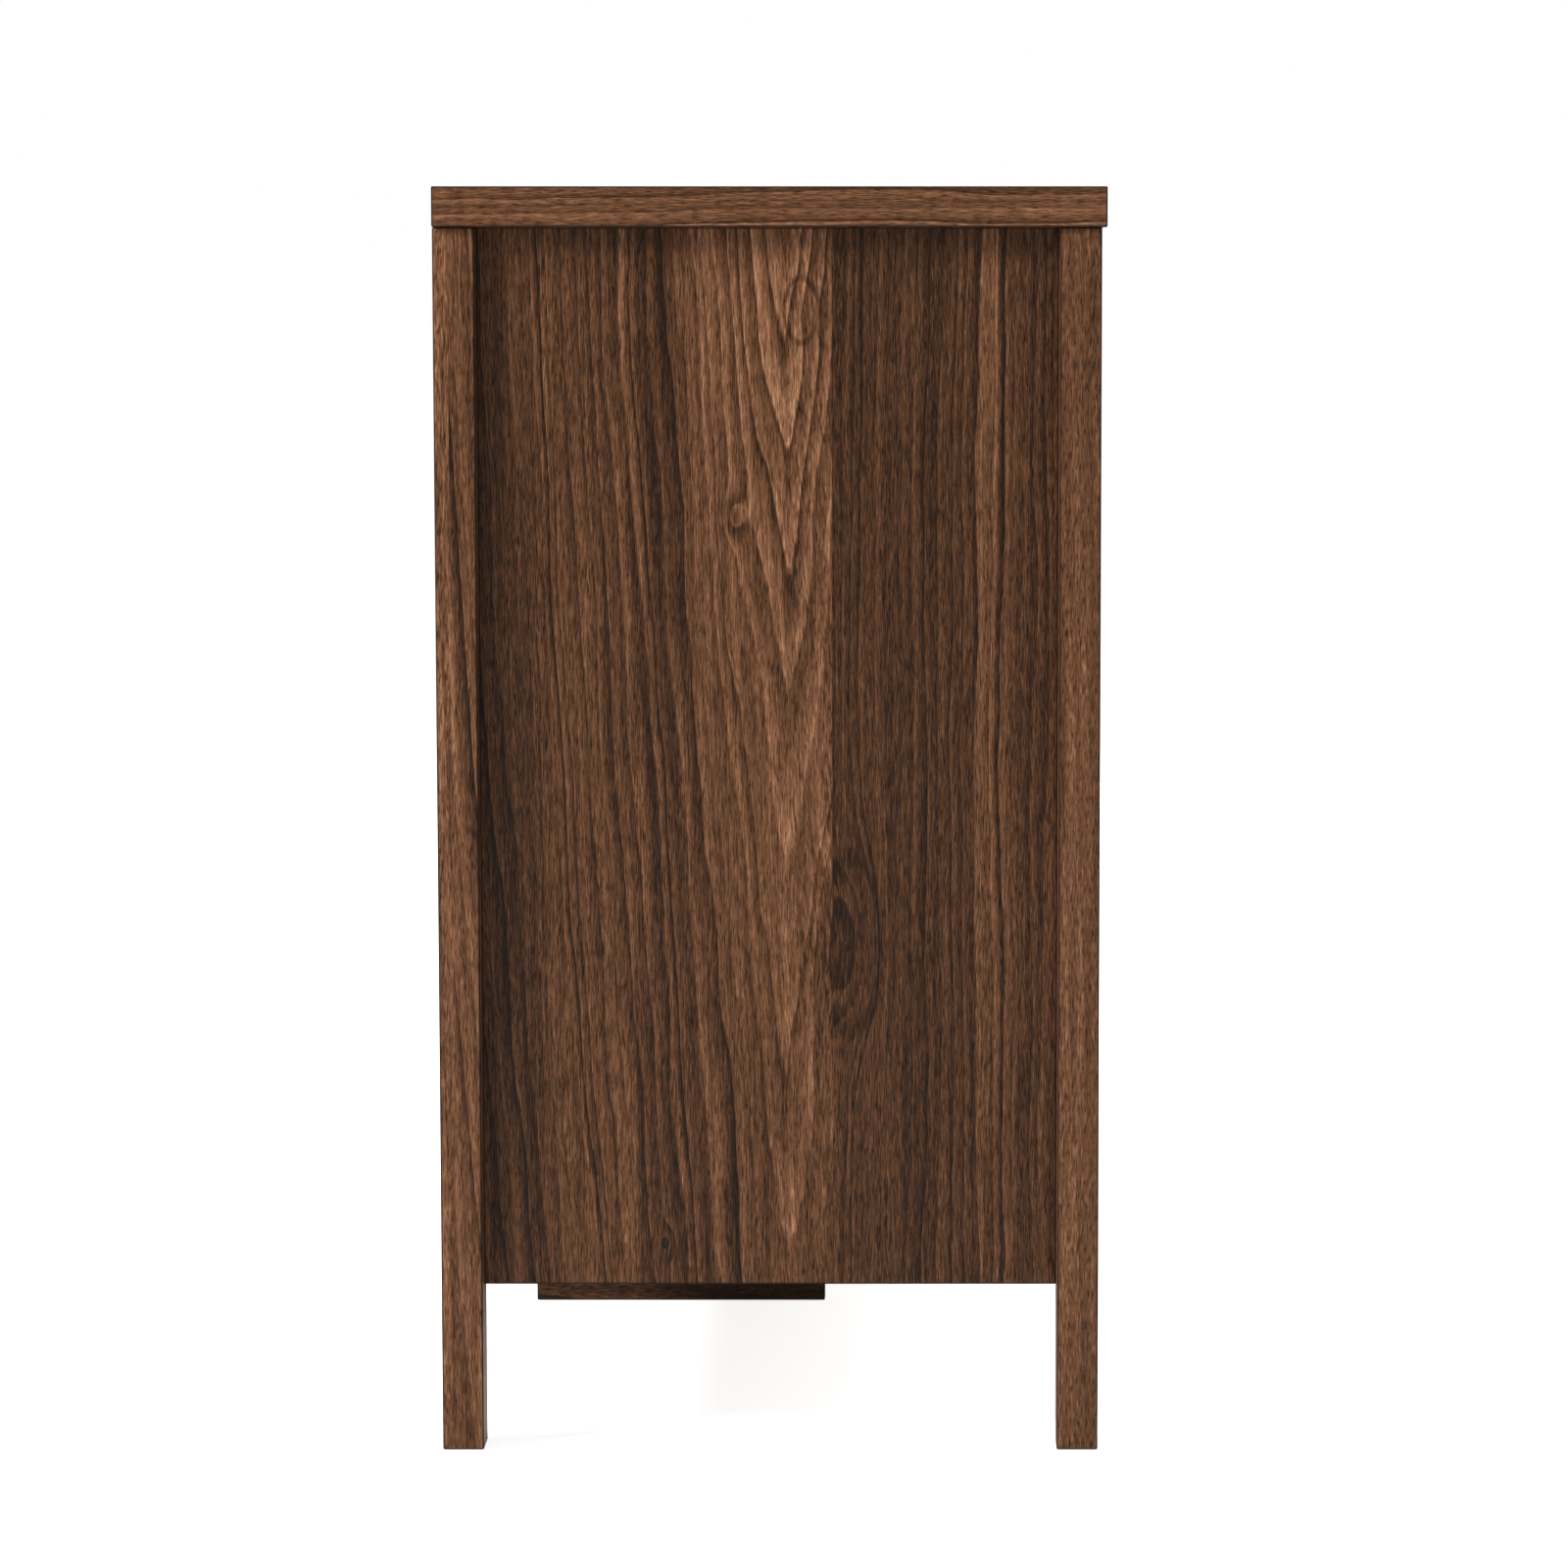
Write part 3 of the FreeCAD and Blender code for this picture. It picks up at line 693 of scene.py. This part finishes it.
def makeShelfPins():
    boxes = solidBoxes("shelf_pins")
    whole = boxes[0][1].x - boxes[0][0].x
    pegLength = whole - pinLook["shankLength"]
    pin = start("cylinder", "shelf_pin", vertices=pinLook["sides"], radius=pinLook["shank"],
                depth=pinLook["shankLength"], location=(0, 0, -pinLook["shankLength"] / 2))
    editing(True)
    choose("EDGE", lambda edge: middleOf(edge).z < -pinLook["shankLength"] + tolerance)
    bevel(pinLook["edge"])
    choose("FACE", lambda face: face.normal.z > 0.99)
    push()
    bpy.ops.transform.resize(value=(pinLook["collar"] / pinLook["shank"],) * 2 + (1,))
    push(z=pinLook["collarThickness"])
    bpy.ops.mesh.inset(thickness=pinLook["collar"] - pinLook["peg"])
    push(z=pegLength - pinLook["collarThickness"])
    choose("EDGE", lambda edge: middleOf(edge).z > pegLength - tolerance
           or (middleOf(edge).xy.length > pinLook["peg"] * 1.1 and not runsAlong(edge, 2)))
    bevel(pinLook["edge"] * 0.5)
    editing(False)
    wide = pinLook["flatCutter"]
    block = start("cube", "cutter", size=1, scale=(wide, wide / 2, wide),
                  location=(0, pinLook["shank"] + wide / 4, pinLook["collarThickness"] + wide / 2))
    cut(pin, block)
    finish(pin)
    places = []
    for low, high in boxes:
        out = Vector((inwards((low + high) / 2), 0, 0))
        wallX = (low.x if out.x > 0 else high.x) + out.x * pinLook["shankLength"]
        axisZ = high.z - pinLook["shank"]
        places.append(Matrix.Translation((wallX, (low.y + high.y) / 2, axisZ)) @ facing(out))
    setOut(pin, places, "shelf_support_pins", "shelf_pins", zincPlate)


# pivot bushes: flanged nylon sleeves, spun from a profile

bushLook = {"steps": 40, "edge": 0.0003, "sleeveLength": 0.012, "sleeveShare": 0.73, "bore": 0.00255}


def spinProfile(name, points):
    # the outline starts as one vertex, is drawn round and spun about Z
    piece = start("plane", name, size=0.001)
    editing(True)
    bpy.ops.mesh.select_mode(type="VERT")
    bpy.ops.mesh.select_all(action="SELECT")
    bpy.ops.mesh.merge(type="CENTER")
    bpy.ops.transform.translate(value=(points[0][0], 0, points[0][1]))
    for before, after in zip(points, points[1:] + points[:1]):
        push(x=after[0] - before[0], z=after[1] - before[1])
    bpy.ops.mesh.select_all(action="SELECT")
    bpy.ops.mesh.remove_doubles(threshold=1e-7)
    bpy.ops.mesh.select_all(action="SELECT")
    bpy.ops.mesh.spin(steps=bushLook["steps"], angle=2 * math.pi, center=(0, 0, 0), axis=(0, 0, 1))
    editing(False)
    finish(piece)
    return piece


def makeBushes():
    copies = []
    for low, high in solidBoxes("pivot_bushes"):
        middle = (low + high) / 2
        out = 1 if middle.z < 0.4 else -1
        flange = (high.x - low.x) / 2
        thickness = (high.z - low.z) - bushLook["sleeveLength"]
        sleeve = flange * bushLook["sleeveShare"]
        edge, bore, foot = bushLook["edge"], bushLook["bore"], -bushLook["sleeveLength"]
        bush = spinProfile("bush", [(bore, foot), (sleeve - edge, foot), (sleeve, foot + edge), (sleeve, 0),
                                    (flange, 0), (flange, thickness - edge), (flange - edge, thickness),
                                    (bore + edge, thickness), (bore, thickness - edge)])
        seatZ = high.z - thickness if out > 0 else low.z + thickness
        bush.data.transform(Matrix.Translation((middle.x, middle.y, seatZ)) @ facing((0, 0, out)))
        copies.append(bush)
    pick(copies)
    bpy.ops.object.join()
    settle(copies[0], "pivot_bush_sleeves", "pivot_bushes", whiteNylon)


# magnet catches: a moulded housing with screw ears and a window for the magnet

catchLook = {"bodyWidth": 0.028, "earThickness": 0.003, "clearance": 0.0002, "corner": 0.0025, "edge": 0.0005,
             "hollow": 0.0025, "hollowDepth": 0.0008, "screwHole": 0.00185, "overrun": 0.002,
             "drillLength": 0.02}


def makeCatch(side):
    node = "magnet_catch_" + side
    low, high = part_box(node)
    middle, size = (low + high) / 2, high - low
    housing = start("cube", node, size=1, location=middle, scale=(catchLook["bodyWidth"], size.y, size.z))
    earZ = high.z - catchLook["earThickness"]
    editing(True)
    bpy.ops.mesh.select_all(action="SELECT")
    bpy.ops.mesh.bisect(plane_co=(0, 0, earZ), plane_no=(0, 0, 1))
    for sign in (-1, 1):
        choose("FACE", lambda face: face.normal.x * sign > 0.9 and middleOf(face).z > earZ)
        push(x=sign * (size.x - catchLook["bodyWidth"]) / 2)
    choose("EDGE", lambda edge: runsAlong(edge, 2) and abs(middleOf(edge).x - middle.x) > size.x * 0.49)
    bevel(catchLook["corner"], 5)
    choose("FACE", lambda face: face.normal.z < -0.9 and middleOf(face).z < low.z + tolerance)
    bpy.ops.mesh.inset(thickness=catchLook["hollow"])
    push(z=catchLook["hollowDepth"])
    choose("EDGE", lambda edge: runsAlong(edge, 1) and middleOf(edge).z < low.z + tolerance
           and abs(abs(middleOf(edge).x - middle.x) - catchLook["bodyWidth"] / 2) < tolerance)
    bevel(catchLook["edge"] * 2, 3)
    editing(False)
    inside = [ends for node in ("catch_magnets", "catch_pole_plates") for ends in solidBoxes(node)
              if abs((ends[0].x + ends[1].x) / 2 - middle.x) < size.x / 2]
    gap = Vector((1, 1, 1)) * catchLook["clearance"]
    pocketLow = Vector(map(min, *(ends[0] for ends in inside))) - gap
    pocketHigh = Vector(map(max, *(ends[1] for ends in inside))) + gap
    pocketLow.y = low.y - catchLook["overrun"]
    cut(housing, start("cube", "cutter", size=1, location=(pocketLow + pocketHigh) / 2,
                       scale=pocketHigh - pocketLow))
    for ends in solidBoxes("catch_screws"):
        place = (ends[0] + ends[1]) / 2
        if abs(place.x - middle.x) < size.x / 2:
            cut(housing, start("cylinder", "cutter", vertices=24, radius=catchLook["screwHole"],
                               depth=catchLook["drillLength"], location=(place.x, place.y, earZ)))
    finish(housing)
    settle(housing, "catch_housing_" + side, node, brownPlastic)


# strike plates: pressed steel with rounded corners, countersinks and a locating dimple

strikeLook = {"corner": 0.0028, "edge": 0.00018, "sink": 0.0033, "sinkFoot": 0.0024, "dimple": 0.0022,
              "dimpleUp": 0.8, "overcut": 1.02}


def makeStrike(side):
    node = "strike_plate_" + side
    low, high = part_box(node)
    middle, size = (low + high) / 2, high - low
    plate = start("cube", node, size=1, location=middle, scale=size)
    editing(True)
    choose("EDGE", lambda edge: runsAlong(edge, 1))
    bevel(strikeLook["corner"], 6)
    choose("EDGE", lambda edge: middleOf(edge).y > high.y - tolerance)
    bevel(strikeLook["edge"])
    editing(False)
    for ends in solidBoxes("strike_screws_" + side):
        place = (ends[0] + ends[1]) / 2
        cone = start("cone", "cutter", vertices=32, radius1=strikeLook["sink"],
                     radius2=strikeLook["sinkFoot"], depth=size.y * strikeLook["overcut"],
                     location=(place.x, middle.y, place.z), rotation=(math.pi / 2, 0, 0))
        cut(plate, cone)
    ball = start("uv_sphere", "cutter", segments=24, ring_count=12, radius=strikeLook["dimple"],
                 location=(middle.x, high.y + strikeLook["dimple"] * strikeLook["dimpleUp"], middle.z))
    cut(plate, ball)
    finish(plate)
    settle(plate, "strike_plate_pressed_" + side, node, zincPlate, "door_" + side)


makeCamLocks()
makeCamCovers()
makeShelfPins()
makeBushes()
for side in ("left", "right"):
    makeCatch(side)
    makeStrike(side)
print("fittings done")


# floor, lights, world and camera

stageLook = {
    "floorSize": 60.0,
    "floorDrop": 0.0004,
    "floorColour": (0.82, 0.82, 0.82, 1.0),
    "floorGlow": 0.84,
    "worldStrength": 0.27,
    "aim": (0, 0, 0.4),
}
lampLooks = {
    "key_lamp": {"place": (-1.30, 2.41, 2.03), "size": 0.9, "power": 190},
    "fill_lamp": {"place": (0.2, -3.2, 2.0), "size": 1.8, "power": 78},
    "side_lamp": {"place": (2.9, -0.6, 1.8), "size": 1.8, "power": 60},
}


def makeFloor():
    floorZ = cadLow.z - stageLook["floorDrop"]
    bpy.ops.mesh.primitive_plane_add(size=stageLook["floorSize"], location=(0, 0, floorZ))
    floor = bpy.context.object
    floor.name = "floor"
    graph = Graph("floor_paper")
    path = graph.make("ShaderNodeLightPath", None, (), "Is Camera Ray")
    glossy = Wire(graph, path.socket.node.outputs["Is Glossy Ray"])
    clear = Wire(graph, path.socket.node.outputs["Is Transmission Ray"])
    seen = path.maths("MAXIMUM", glossy).maths("MAXIMUM", clear)
    glow = graph.mixColour(seen, (0, 0, 0, 1), (stageLook["floorGlow"],) * 3 + (1.0,))
    graph.set(Base_Color=stageLook["floorColour"], Roughness=1.0, Emission_Color=glow, Emission_Strength=1.0)
    graph.shader.inputs["Specular IOR Level"].default_value = 0.0
    floor.data.materials.append(graph.material)


def makeWorld():
    world = bpy.data.worlds.new("studio")
    bpy.context.scene.world = world
    world.use_nodes = True
    tree = world.node_tree
    background = tree.nodes["Background"]
    path = tree.nodes.new("ShaderNodeLightPath")
    strength = tree.nodes.new("ShaderNodeMapRange")
    strength.inputs["To Min"].default_value = stageLook["worldStrength"]
    strength.inputs["To Max"].default_value = 1.0
    seen = tree.nodes.new("ShaderNodeMath")
    seen.operation = "MAXIMUM"
    tree.links.new(path.outputs["Is Camera Ray"], seen.inputs[0])
    tree.links.new(path.outputs["Is Glossy Ray"], seen.inputs[1])
    tree.links.new(seen.outputs[0], strength.inputs["Value"])
    tree.links.new(strength.outputs[0], background.inputs["Strength"])
    background.inputs["Color"].default_value = (1, 1, 1, 1)


def makeLamp(name, place, size, power):
    bpy.ops.object.light_add(type="AREA", location=place)
    lamp = bpy.context.object
    lamp.name = name
    lamp.data.size = size
    lamp.data.energy = power
    lamp.rotation_euler = (Vector(stageLook["aim"]) - Vector(place)).to_track_quat("-Z", "Y").to_euler()
    return lamp


makeFloor()
makeWorld()
lamps = {name: makeLamp(name, **look) for name, look in lampLooks.items()}
lamps["key_lamp"].visible_glossy = False      # no glare of it in the top board

cameraLook = {
    "distance": 2.6,       # from the near end of the legs
    "side": -0.0775,
    "height": 0.709,
    "tilt": 5.0,
    "lens": 100.4,
    "shift": (-0.0743, -0.0798),
}


def makeCamera():
    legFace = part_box("leg_front_left")[0].x
    place = (legFace - cameraLook["distance"], cameraLook["side"], cameraLook["height"])
    turn = (math.radians(90 - cameraLook["tilt"]), 0, math.radians(-90))
    bpy.ops.object.camera_add(location=place, rotation=turn)
    camera = bpy.context.object
    camera.data.lens = cameraLook["lens"]
    camera.data.sensor_width = 36
    camera.data.shift_x, camera.data.shift_y = cameraLook["shift"]
    bpy.context.scene.camera = camera


makeCamera()
print("stage done")
bpy.context.scene.view_settings.view_transform = "Standard"
